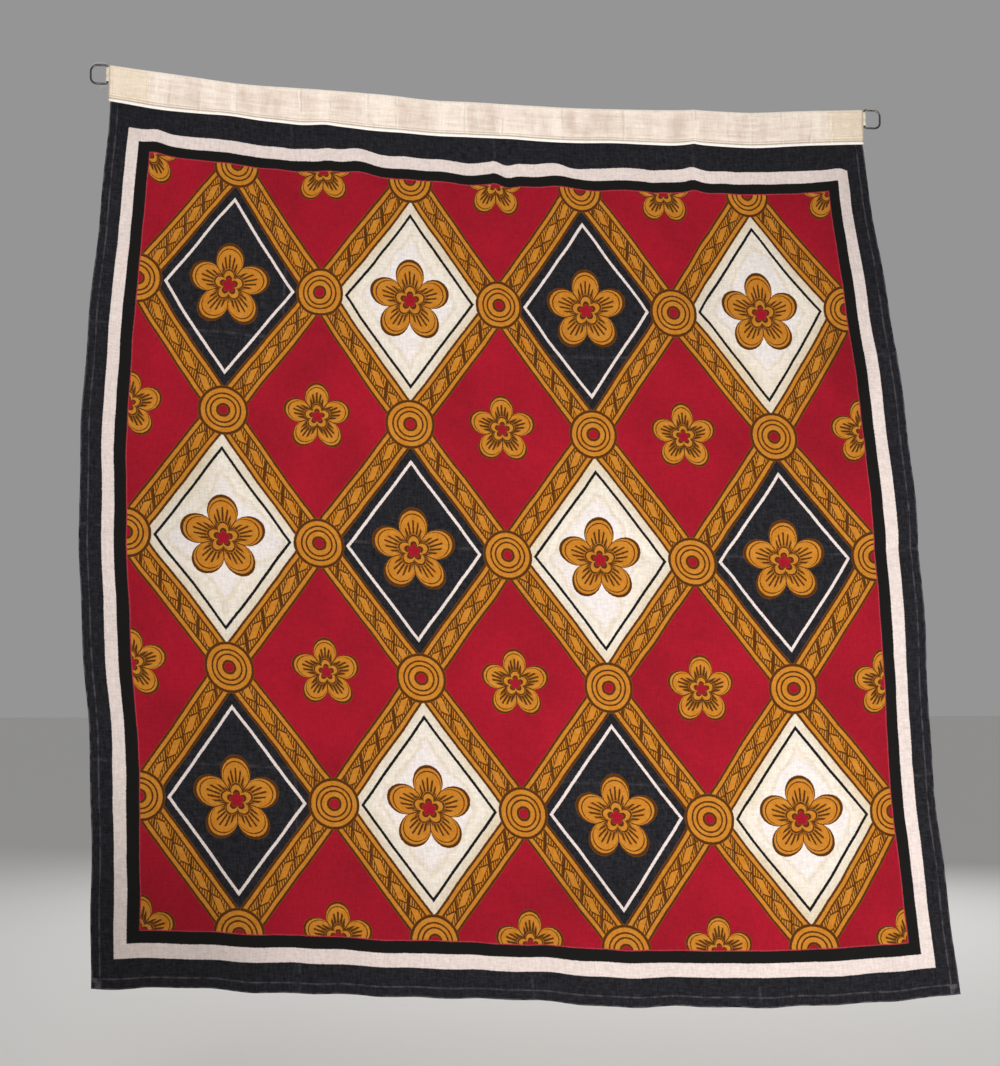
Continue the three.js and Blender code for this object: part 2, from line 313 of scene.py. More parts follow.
# the printed cotton, in millimetres, with the short wrinkles and pulls that only show close up
panel = {
    "cutWidth": 1216, "cutLength": 1245, "cloth": 0.8, "sewnIn": 6, "columns": 200, "rows": 205,
    "hem": 15, "hemCloth": 1.9, "stitchFromSide": 12, "stitchFromHem": 15.5, "stitchDent": 0.3,
    # how its edges waver in its plane and ripple out of it: depth, length and start
    "sideWaver": [(0.9, 173, 0.6)], "hemWaver": [(1.3, 236, 2.0), (0.8, 91, 0.5)], "ripple": 0.35,
    "sideRipple": [(1, 37, 0.3), (0.7, 23, 1.9)], "hemRipple": [(1, 41, 1.1), (0.7, 27, 0.2)],
    # across, down, lean in degrees, length and depth
    "wrinkles": [
        (-60, 330, 80, 300, 1.1), (-20, 1130, 78, 170, -1.5), (-128, 1160, 84, 150, 1.3),
        (332, 150, 86, 220, -1.5), (312, 880, 84, 330, 1.2), (-330, 160, 88, 240, 1.2),
        (-470, 610, 8, 210, 1.0), (-250, 620, -3, 320, -0.9), (240, 600, 4, 380, 1.0),
        (520, 960, 62, 150, 1.1), (-520, 1010, -58, 130, -1.0), (150, 300, 35, 160, 0.8),
        (430, 420, -40, 190, -0.9), (-400, 850, 30, 210, 0.8), (60, 830, -28, 230, 0.8),
    ],
    "pullReach": 0.03, "freeReach": 0.02,
    # where the seam pulls the weave up or down just below the heading: across, width and rise
    "pulls": [(-533, 14, 3.5), (-385, 45, -1.7), (-318, 16, -1.4), (-283, 14, -1.4), (-214, 25, 5.8),
              (-142, 14, 0.8), (-42, 28, -4.2), (-1, 6, 1.2), (20, 13, -4.4), (100, 28, 5.6), (175, 34, -2.9),
              (256, 14, -1.8), (318, 8, 2), (345, 20, -2.8), (388, 28, -2.8), (515, 42, -3), (560, 12, 1),
              (580, 9, -4)],
    # a small tuck takes in cloth at the white stripe's upper edge: across, down, both reaches and drop
    "tuck": (124, 34, 22, 14, 5.5),
}


def wrinkle(distance, depth, along):
    return crease(distance, 0.28 * depth, 5) * (0.7 + 0.5 * wave(along, 230, depth))


# faint dimples, then short wrinkles, the folding creases' own edges and the ripples of the hems
def fineRelief(across, down):
    total = 0.32 * wave(across + 0.35 * down, 71, 0.4) * wave(down - 0.2 * across, 118, 1.7)
    total = total + 0.22 * wave(across - 0.5 * down, 43, 2.1) * wave(down + 0.4 * across, 57, 0.8)
    for x, y, lean, length, depth in panel["wrinkles"]:
        angle = math.radians(lean)
        along = (across - x) * math.cos(angle) + (down - y) * math.sin(angle)
        off = -(across - x) * math.sin(angle) + (down - y) * math.cos(angle) + 4 * np.sin(along / 31)
        total = total + crease(off, depth, 7) * np.exp(-(2 * along / length) ** 4)
    for at, depth in hang["uprightCreases"]:
        bent = across - at * panel["cutWidth"] / 2 + 2.5 * np.sin(down / 83)
        total = total + wrinkle(bent, depth, down)
    for at, depth in hang["levelCreases"]:
        bent = down - at * panel["cutLength"] + 2.5 * np.sin(across / 71)
        total = total + wrinkle(bent, depth, across)
    fromSide = panel["cutWidth"] / 2 - np.abs(across)
    fromHem = panel["cutLength"] - down
    sideWave = waves(down, panel["sideRipple"]) * np.exp(-fromSide / 12)
    hemWave = waves(across, panel["hemRipple"]) * np.exp(-fromHem / 12)
    return total + panel["ripple"] * (sideWave + hemWave)


# the middle of the cloth's thickness at u and t, in millimetres
def panelMiddle(u, t):
    hung = np.maximum(t, 0)
    across, down = u * panel["cutWidth"] / 2, t * panel["cutLength"]
    x = middleLine(hung) + u * halfWidth(hung)
    x = x + waves(down, panel["sideWaver"]) * np.abs(u) ** 9
    near = hung / panel["pullReach"]
    pull = hills(across, panel["pulls"]) * near * np.exp(1 - near)
    x0, y0, wide, tall, drop = panel["tuck"]
    taken = drop * np.exp(-((across - x0) / wide) ** 2 - ((down - y0) / tall) ** 2)
    z = seamLine(u) * (1 - t) + hemLine(u) * t + pull - taken
    z = z + waves(across, panel["hemWaver"]) * hung ** 12
    free = 1 - np.exp(-hung / panel["freeReach"])
    y = relief(u, hung) + free * fineRelief(across, down) + (1 - free) * headingPress(across)
    y = y - 0.4 * pull - 0.2 * taken
    return x, y, z


# half the cloth's thickness: the hem is folded over twice, and its stitching draws it in
def panelHalf(u, t):
    fromEdge = (1 - np.abs(u)) * panel["cutWidth"] / 2
    fromHem = (1 - t) * panel["cutLength"]
    edge = np.minimum(fromEdge, fromHem)
    half = np.where(edge < panel["hem"] + 0.5, panel["hemCloth"] / 2, panel["cloth"] / 2)
    half = np.where(edge < 0.3, half * 0.45, half)
    dents = np.exp(-((fromEdge - panel["stitchFromSide"]) / 0.9) ** 2)
    half = half - panel["stitchDent"] * dents * (edge < panel["hem"])
    return np.where(t < 0.001, panel["cloth"] / 2, half)


def makePanel(material):
    width, length, hem = panel["cutWidth"] / 2, panel["cutLength"], panel["hem"]
    hemSteps = np.array([0, 0.7, 2.2, 6, 10, 12, 13.6, 15])
    inner = width - hem - 1.5
    evenly = np.linspace(-inner, inner, panel["columns"])
    across = np.concatenate([hemSteps - width, evenly, width - hemSteps[::-1]])
    evenly = np.linspace(2.5, length - hem - 1.5, panel["rows"])
    down = np.concatenate([[-panel["sewnIn"], 0], evenly, length - hemSteps[::-1]])
    u, t = np.meshgrid(across / width, down / length, indexing="ij")
    x, y, z = panelMiddle(u, t)
    half = panelHalf(u, t)
    points = np.concatenate([np.stack([x, y + s * half, z], -1).reshape(-1, 3) for s in (-1, 1)]) * mm
    columns, rows = u.shape
    count = columns * rows
    faces = []
    for i in range(columns - 1):
        for j in range(rows - 1):
            a, b, c, d = i * rows + j, (i + 1) * rows + j, (i + 1) * rows + j + 1, i * rows + j + 1
            faces.append((a, d, c, b))
            faces.append((count + a, count + b, count + c, count + d))
    border = [i * rows for i in range(columns)] + [(columns - 1) * rows + j for j in range(1, rows)]
    border += [i * rows + rows - 1 for i in range(columns - 2, -1, -1)] + list(range(rows - 2, 0, -1))
    for a, b in zip(border, border[1:] + border[:1]):
        faces.append((a, b, count + b, count + a))
    made = meshObject("flag_cloth", points, faces, material)
    front = np.stack([u * width * mm, -t * length * mm, np.zeros_like(u)], -1).reshape(-1, 3)
    setPlace(made, np.concatenate([front, front + (0, 0, 1)]))
    return made


# the rings and the tape tabs that hold them, in millimetres
fitting = {
    "wire": 3.0, "reach": 24, "height": 28, "innerCorner": 2.5, "outerCorner": 9, "drop": 14.5,
    "tape": 0.9, "gap": 0.3, "tabLength": 21, "tabTail": 11, "tabRows": 22,
}


def ringPlace(side):
    outwards = fitting["wire"] / 2 + 2 * fitting["gap"] + fitting["tape"]
    x = side * (hang["headingWidth"] / 2 + outwards)
    return Vector((x, headingWave(side), headingTop(side) - fitting["drop"]))


def arc(x, z, radius, start, end, steps):
    angles = np.radians(np.linspace(start, end, steps))
    return [(x + radius * math.cos(a), z + radius * math.sin(a)) for a in angles]


# a strip of tape laid round the ring's straight leg, both its tails together inside the heading's end
def makeTab(name, side, material):
    middle, tape = ringPlace(side), fitting["tape"]
    bore = fitting["wire"] / 2 + fitting["gap"]
    start = math.degrees(math.asin(tape / (bore + tape)))
    tail = -(bore + tape + fitting["gap"] + fitting["tabTail"])
    straight = np.linspace(tail, -bore - tape, 7)[:-1]
    outside = [(x, -tape) for x in straight] + arc(0, 0, bore + tape, start - 180, 180 - start, 25)
    outside += [(x, tape) for x in straight[::-1]]
    inside = arc(0, 0, bore, -180, 180, len(outside) + 1)[:-1]
    levels = np.linspace(-0.5, 0.5, fitting["tabRows"]) * fitting["tabLength"]
    sections, places = [], []
    for outline, order in ((outside, levels), (inside, levels[::-1])):
        for level in order:
            fray = 0.06 * math.sin(1.9 * level)
            ring = [Vector((side * x, side * (y + fray * (x > tail)), level)) for x, y in outline]
            sections.append([(middle + point) * mm for point in ring])
            places += [(x * mm, level * mm, 0) for x, y in outline]
    made = loft(name, sections, material, closed=True)
    setPlace(made, places)
    return made


# a Geometry Nodes tree with its named inputs, and the path of points that it starts from
def newTree(name, numbers):
    tree = bpy.data.node_groups.new(name, "GeometryNodeTree")
    for label, kind in {"Geometry": "Geometry", **numbers, "Material": "Material"}.items():
        tree.interface.new_socket(label, in_out="INPUT", socket_type="NodeSocket" + kind)
    tree.interface.new_socket("Geometry", in_out="OUTPUT", socket_type="NodeSocketGeometry")
    given = node(tree, "NodeGroupInput").outputs
    return tree, given, node(tree, "GeometryNodeMeshToCurve", {"Mesh": given["Geometry"]})


def endTree(tree, given, grown):
    smooth = node(tree, "GeometryNodeSetShadeSmooth", {"Geometry": grown})
    real = node(tree, "GeometryNodeRealizeInstances", {"Geometry": smooth})
    painted = node(tree, "GeometryNodeSetMaterial", {"Geometry": real, "Material": given["Material"]})
    node(tree, "NodeGroupOutput", painted)
    return tree


# a round wire or thread swept along a path
def wireTree():
    tree, given, path = newTree("swept wire", {"Radius": "Float", "Spacing": "Float", "Sides": "Int"})
    even = node(tree, "GeometryNodeResampleCurve", {"Curve": path, "Length": given["Spacing"]}, mode="LENGTH")
    section = {"Resolution": given["Sides"], "Radius": given["Radius"]}
    section = node(tree, "GeometryNodeCurvePrimitiveCircle", section)
    swept = {"Curve": even, "Profile Curve": section, "Fill Caps": True}
    return endTree(tree, given, node(tree, "GeometryNodeCurveToMesh", swept))


# thread stitches of uneven length laid end to end along paths
def stitchTree():
    numbers = {"Spacing": "Float", "Length": "Float", "Thickness": "Float"}
    tree, given, path = newTree("thread stitches", numbers)
    places = {"Curve": path, "Length": given["Spacing"]}
    places = node(tree, "GeometryNodeCurveToPoints", places, mode="LENGTH")
    along = node(tree, "FunctionNodeAlignRotationToVector", {"Vector": places.outputs["Tangent"]}, axis="X")
    uneven = node(tree, "FunctionNodeRandomValue", {0: 0.82, 1: 1.08, "Seed": 7}, data_type="FLOAT")
    length = node(tree, times, given["Length"], uneven)
    size = node(tree, combine, length, given["Thickness"], given["Thickness"])
    thread = node(tree, "GeometryNodeMeshUVSphere", {"Segments": 6, "Rings": 4, "Radius": 0.5})
    turned = node(tree, "GeometryNodeTransform", {"Geometry": thread, "Rotation": (0, math.pi / 2, 0)})
    laid = {"Points": places, "Instance": turned, "Rotation": along, "Scale": size}
    return endTree(tree, given, node(tree, "GeometryNodeInstanceOnPoints", laid))


# the plain mesh that a tree grows along paths of points in metres
def grow(name, tree, paths, values, closed=False):
    points, edges = [], []
    for path in paths:
        first = len(points)
        points += [tuple(p) for p in path]
        edges += [(i, i + 1) for i in range(first, len(points) - 1)]
        if closed:
            edges.append((len(points) - 1, first))
    carrier = addObject(name + "_path", bpy.data.meshes.new(name + "_path"))
    carrier.data.from_pydata(points, edges, [])
    modifier = carrier.modifiers.new("grow", "NODES")
    modifier.node_group = tree
    for item in tree.interface.items_tree:
        if item.in_out == "INPUT" and item.name in values:
            modifier[item.identifier] = values[item.name]
    grown = bpy.data.meshes.new_from_object(carrier.evaluated_get(bpy.context.evaluated_depsgraph_get()))
    made = addObject(name, grown)
    carrier.modifiers.clear()
    bpy.data.objects.remove(carrier)
    return made


def makeRing(name, side, tree, material):
    half, reach = fitting["height"] / 2, fitting["reach"]
    inner, outer = fitting["innerCorner"], fitting["outerCorner"]
    route = [(0, z) for z in np.linspace(half - inner, inner - half, 9)[:-1]]
    route += arc(inner, inner - half, inner, 180, 270, 7)
    route += arc(reach - outer, outer - half, outer, 270, 360, 12)
    route += arc(reach - outer, half - outer, outer, 0, 90, 12)
    route += arc(inner, half - inner, inner, 90, 180, 7)[:-1]
    path = [(ringPlace(side) + Vector((side * x, 0, z))) * mm for x, z in route]
    values = {"Radius": fitting["wire"] / 2 * mm, "Spacing": 0.8 * mm, "Sides": 14, "Material": material}
    return grow(name, tree, [path], values, closed=True)


# all the sewing, in millimetres: the thread lies half sunk in the cloth
sewing = {
    "spacing": 3.3, "length": 2.7, "thickness": 0.62, "sunk": 0.05,
    "patchSeam": 3, "patchInset": 5, "patchBottom": 12, "tackRows": 6, "steps": 500,
}


def alongHeading(xs, heights, side):
    path = []
    for x, z in zip(xs, heights):
        u = 2 * x / hang["headingWidth"]
        y = headingWave(u) + headingPress(x) + side * (headingHalf(x, z) + sewing["sunk"])
        path.append((x * mm, y * mm, headingLevel(x, z) * mm))
    return path


def headingSeams():
    width, height = hang["headingWidth"], hang["headingHeight"]
    steps = np.linspace(4 - width / 2, width / 2 - 4, 420)
    paths = []
    for side in (-1, 1):
        for row in heading["stitchRows"]:
            paths.append(alongHeading(steps, np.full_like(steps, row), side))
        for end in (-1, 1):
            far = end * (width / 2 - heading["endPatch"] + sewing["patchSeam"])
            near = end * (width / 2 - sewing["patchInset"])
            low, high = sewing["patchBottom"], height - sewing["patchInset"]
            corners = [(far, low), (far, high), (near, high), (near, low), (far, low)]
            for (x0, z0), (x1, z1) in zip(corners, corners[1:]):
                paths.append(alongHeading(np.linspace(x0, x1, 24), np.linspace(z0, z1, 24), side))
    return paths


def alongPanel(across, down, side):
    u, t = np.asarray(across) / (panel["cutWidth"] / 2), np.asarray(down) / panel["cutLength"]
    x, y, z = panelMiddle(u, t)
    return np.stack([x, y + side * (panelHalf(u, t) + sewing["sunk"]), z], -1) * mm


def hemSeams():
    width, length = panel["cutWidth"] / 2, panel["cutLength"]
    column, row = width - panel["stitchFromSide"], length - panel["stitchFromHem"] + 1.2
    count = sewing["steps"]
    paths = []
    for side in (-1, 1):
        for end in (-1, 1):
            paths.append(alongPanel(np.full(count, end * column), np.linspace(1, length - 6, count), side))
            # the corners are tacked with a few short rows
            for i in range(sewing["tackRows"]):
                x = end * (width - 2.5 - 2 * i)
                paths.append(alongPanel(np.full(8, x), np.linspace(length - 13, length - 2, 8), side))
        paths.append(alongPanel(np.linspace(-column, column, count), np.full(count, row), side))
    return paths


# loose thread ends, in millimetres: where each starts, and its bends from there; and the short fibres
# that fray out all along the heading's ends
strays = {
    "long": [
        ((-561, -2.0, 34), [(-9, -2, 5), (-19, -3, 3), (-27, -2, -4)]),
        ((-561, 1.0, 12), [(-4, 1, -5), (-10, 0, -7), (-13, -2, -13)]),
        ((561, -2.0, 4), [(8, -2, 4), (17, -3, 3), (24, -4, -3)]),
        ((560, 1.5, -36), [(3, 2, -6), (2, 3, -13), (6, 2, -19)]),
    ],
    "fibres": 42, "fibreLength": 3.2,
}


def frayedFibres():
    chance, fibres = np.random.default_rng(5), []
    for end in (-1, 1):
        for z in np.linspace(2, hang["headingHeight"] - 2, strays["fibres"]):
            reach = strays["fibreLength"] * chance.uniform(0.35, 1)
            lift, out = chance.uniform(-1.6, 1.6, 2)
            level = z - hang["headingHeight"] + headingTop(end)
            start = (end * (hang["headingWidth"] / 2 - 0.8), chance.uniform(-1.6, 1.6), level)
            fibres.append((start, [(end * reach * f, out * f, lift * f * f) for f in (0.5, 0.8, 1.0)]))
    return fibres


# each thread is a smooth curve through its start and its three bends
def strayThreads():
    paths = []
    for start, bends in strays["long"] + frayedFibres():
        points = [Vector(start)] + [Vector(start) + Vector(bend) for bend in bends]
        smooth = []
        for i in range(3):
            p = [points[max(i - 1, 0)], points[i], points[i + 1], points[min(i + 2, 3)]]
            for f in np.linspace(0, 1, 8)[(i > 0):]:
                rise = (p[2] - p[0]) * f + (2 * p[0] - 5 * p[1] + 4 * p[2] - p[3]) * f ** 2
                smooth.append((p[1] + 0.5 * (rise + (3 * p[1] - p[0] - 3 * p[2] + p[3]) * f ** 3)) * mm)
        paths.append(smooth)
    return paths


# a place on the flat, unhung piece, in millimetres
def flatPlace(tree):
    stored = node(tree, "ShaderNodeAttribute", attribute_name="place")
    return node(tree, scaled, stored.outputs["Vector"], 1 / mm)


# the colours of a piece's dictionary
def tones(look):
    return {name: linear(value) for name, value in look.items() if isinstance(value, str)}


# a cloth's finish: matt, with its threads and crumples in relief
def finishCloth(tree, shader, look, colour, height):
    bump = node(tree, bumpMap, {"Strength": 0.6, "Distance": look["relief"], "Height": height})
    setInputs(tree, shader, {"Base Color": colour, "Normal": bump, "Roughness": look["roughness"],
                             "Specular IOR Level": look["gloss"], "Sheen Weight": look["sheen"]})


# the distance in mm inside the nearest side of an upright box, less than 0 outside it
def insideBox(tree, place, box):
    (left, low), (right, high) = box
    fromLow = node(tree, minusEach, place, (left, low, 0))
    fromHigh = node(tree, minusEach, (right, high, 0), place)
    parts = node(tree, split, node(tree, vectors, fromLow, fromHigh, operation="MINIMUM"))
    return node(tree, smaller, parts.outputs[0], parts.outputs[1])


# a remap of how far a value is from 0, either way
def beside(tree, value, *limits):
    return node(tree, remap, node(tree, unsigned, value), *limits)


# noise drawn out to streaks this wide and this tall, in mm
def streaks(tree, place, wide, tall, detail):
    return node(tree, flatNoise, node(tree, timesEach, place, (1 / wide, 1 / tall, 0)), 1, detail)


# long thin streaks both ways, as uneven threads make
def unevenThreads(tree, place, spacing, run):
    bothWays = [streaks(tree, place, *size, 2.5) for size in ((spacing, run), (run, spacing))]
    return node(tree, mixNumber, 0.5, *bothWays)


# the print, in millimetres from the middle of the cloth's top edge, and its colours
printed = {
    "whiteOuter": ((-577, -1205), (577, -36)), "whiteInner": ((-559.5, -1185), (558.5, -54.4)),
    "field": ((-542, -1168), (541.5, -69.5)), "across": 4, "down": 3,
    "core": 9.5, "coreLine": 12, "stripe": 17, "band": 20.5, "frame": (31, 35),
    "twist": 42, "hatch": 5.2, "disc": 36, "flower": 50, "largerFlower": 12,
    "red": "#9A1024", "deepRed": "#8D0E20", "fringe": "#A4343F", "white": "#DCCDC6", "cream": "#DFD5C8",
    "stain": "#CDBCA0", "clean": "#E3DBDA", "tideLine": "#C9B592", "outerDark": "#141416",
    "heather": "#28282E", "innerDark": "#131211", "ochre": "#B8721B", "paleOchre": "#BB7C2C",
    "brown": "#4E2A08", "worn": "#A0959A",
}


# stops of a ramp from distances, each with the value that holds up to it; the edges are soft
def stepStops(reach, steps, soft):
    stops, value = [], steps[0][1]
    for start, following in steps[1:]:
        stops += [((start - soft) / reach, value), (start / reach, following)]
        value = following
    return [(0.0, steps[0][1])] + stops


# a trellis of ochre bands over red, cream and dark lozenges, each with a flower; it gives masks, which
# come from the colour channels of three ramps
def trellis(tree, place):
    (left, low), (right, high) = printed["field"]
    wide, tall = (right - left) / printed["across"], (high - low) / printed["down"]
    slant = math.hypot(wide, tall)
    toBand = wide * tall / slant
    # two diagonal coordinates that are whole numbers on the bands' middles
    fromCorner = node(tree, minusEach, place, (left - wide / 2, high, 0))
    diagonals = [node(tree, dotted, fromCorner, (1 / wide, s / tall, 0)) for s in (-1, 1)]
    lattice = node(tree, combine, *diagonals)
    toCrossing = node(tree, vectors, lattice, (0.5, 0.5, 0.5), (-0.5, -0.5, -0.5), operation="WRAP")
    inCell = node(tree, minusEach, node(tree, vectors, lattice, operation="FRACTION"), (0.5, 0.5, 0))
    cell = node(tree, split, node(tree, vectors, lattice, operation="FLOOR"))
    bothWays = node(tree, plus, cell.outputs[0], cell.outputs[1])
    coloured = node(tree, zigzag, bothWays, 1)
    dark = node(tree, zigzag, cell.outputs[0], 1)

    # distances across the two nearest bands and along them
    offset = node(tree, scaled, toCrossing, toBand)
    away = node(tree, split, node(tree, vectors, offset, operation="ABSOLUTE"))
    nearest = node(tree, smaller, away.outputs[0], away.outputs[1])
    runs = [node(tree, dotted, place, (wide / slant, s * tall / slant, 0)) for s in (1, -1)]
    run = node(tree, combine, *runs)
    slanted = node(tree, split, node(tree, timesPlusEach, offset, (1.1, 1.1, 0), run))
    isSecond = node(tree, maths, away.outputs[0], away.outputs[1], operation="GREATER_THAN")
    twist = node(tree, mixNumber, isSecond, slanted.outputs[0], slanted.outputs[1])

    # red: brown lines, green: the lozenge's own frame, blue: the whole band, alpha: its hatched core
    line, plain, hatched, bare = (1, 0, 1, 0), (0, 0, 1, 0), (0, 0, 1, 1), (0, 0, 0, 0)
    steps = [(0, hatched), (printed["core"], line), (printed["coreLine"], plain), (printed["stripe"], line),
             (printed["band"], bare), (printed["frame"][0], (0, 1, 0, 0)), (printed["frame"][1], bare)]
    across = node(tree, ramp, node(tree, over, nearest, 60), stops=stepStops(60, steps, 0.5))
    banded = node(tree, splitColour, across)
    turn = node(tree, wrapped, twist, printed["twist"] / 2, -printed["twist"] / 2)
    tick = node(tree, wrapped, twist, printed["hatch"] / 2, -printed["hatch"] / 2)
    turnLine = beside(tree, turn, 2.5, 1.7)
    tickLine = beside(tree, tick, 1.5, 0.9)
    # each tick reaches in from the core's edge, farthest beside a turn line, and leaves a leaf-like tongue
    reachIn = beside(tree, turn, 3, printed["twist"] / 2, 0.5, 6.8)
    tickEnd = node(tree, minus, nearest, reachIn)
    ticks = node(tree, times, tickLine, node(tree, remap, tickEnd, 0, 0.7))
    tongue = beside(tree, tickEnd, 1, 0.5)
    marks = node(tree, larger, node(tree, larger, turnLine, ticks), tongue)
    marks = node(tree, times, marks, across.outputs["Alpha"])
    lines = node(tree, larger, marks, banded.outputs[0])

    # a disc on each crossing and a flower in each lozenge, from distances to their middles; red and green
    # are brown lines and ochre, blue is the red eye
    middles = []
    for spot in (toCrossing, inCell):
        xy = [node(tree, dotted, spot, size) for size in ((wide / 2, wide / 2, 0), (-tall / 2, tall / 2, 0))]
        middles.append((xy, node(tree, vectorLength, node(tree, combine, *xy))))
    brown, ochre, eye, clear = (1, 1, 0, 1), (0, 1, 0, 1), (0, 1, 1, 1), (0, 0, 0, 0)
    rings = stepStops(40, [(0, eye), (7, brown), (10.5, ochre), (17, brown), (19.5, ochre), (23.5, brown),
                           (26, ochre), (printed["disc"] - 4, brown), (printed["disc"], clear)], 0.5)
    disc = node(tree, ramp, node(tree, over, middles[0][1], 40), stops=rings)
    (x, y), radius = middles[1]
    angle = node(tree, times, node(tree, maths, x, y, operation="ARCTAN2"), 2.5)
    swell = node(tree, unsigned, node(tree, maths, angle, operation="COSINE"))
    swell = node(tree, maths, swell, 0.75, operation="POWER")
    size = node(tree, timesPlus, coloured, printed["largerFlower"], printed["flower"])  # at most this far out
    ratio = node(tree, over, radius, node(tree, times, node(tree, remap, swell, 0, 1, 0.52), size))
    petals = stepStops(1.2, [(0, eye), (0.17, brown), (0.235, ochre), (0.34, brown), (0.385, ochre),
                             (0.84, brown), (0.87, ochre), (0.93, brown), (1.0, clear)], 0.01)
    flower = node(tree, ramp, node(tree, over, ratio, 1.2), stops=petals)
    # fine veins fan out in each petal, and the gaps between petals are drawn in
    sine = node(tree, unsigned, node(tree, maths, node(tree, times, angle, 7), operation="SINE"))
    vein = node(tree, remap, node(tree, times, sine, radius), 27, 17)
    gap = node(tree, remap, node(tree, times, swell, radius), 4.2, 3.2)
    toEnd = node(tree, minus, node(tree, timesPlus, swell, 0.3, 0.42), ratio)
    veins = node(tree, times, vein, node(tree, remap, toEnd, 0, 0.02))
    veins = node(tree, times, node(tree, larger, veins, gap), node(tree, remap, ratio, 0.38, 0.4))
    veins = node(tree, times, veins, flower.outputs["Alpha"])

    discParts, flowerParts = node(tree, splitColour, disc), node(tree, splitColour, flower)
    lines = node(tree, times, lines, node(tree, minus, 1, disc.outputs["Alpha"]))
    for extra in (discParts.outputs[0], flowerParts.outputs[0], veins):
        lines = node(tree, larger, lines, extra)
    fill = node(tree, larger, banded.outputs[2], disc.outputs["Alpha"])
    fill = node(tree, larger, fill, flower.outputs["Alpha"])
    eyes = node(tree, larger, discParts.outputs[2], flowerParts.outputs[2])
    return {"coloured": coloured, "dark": dark, "frame": banded.outputs[1], "fill": fill, "lines": lines,
            "eyes": eyes, "nearest": nearest}


# printed plain-weave cotton: matt and thready, its dye faded on the folds and edges, its pale parts
# stained with cleaner pools. The real threads are 0.5 mm apart; they are drawn 2 mm apart, to show
cottonLook = {
    "thread": 2.0, "run": 9, "slub": 3.8, "slubRun": 20, "relief": 1.2 * mm,
    "roughness": 0.92, "gloss": 0.15, "sheen": 0.02, "showThrough": 0.18,
    # soft dark patches: across, down, width, height and strength; the first is a stain, and the large one in
    # the lower left corner is painted shade
    "stainsAndShade": [(528, 335, 48, 80, 0.25), (-470, 560, 90, 150, 0.1), (-560, 1180, 260, 210, 0.24),
               (80, 1090, 130, 60, 0.1), (330, 240, 110, 60, 0.08), (560, 130, 90, 180, 0.1)],
}


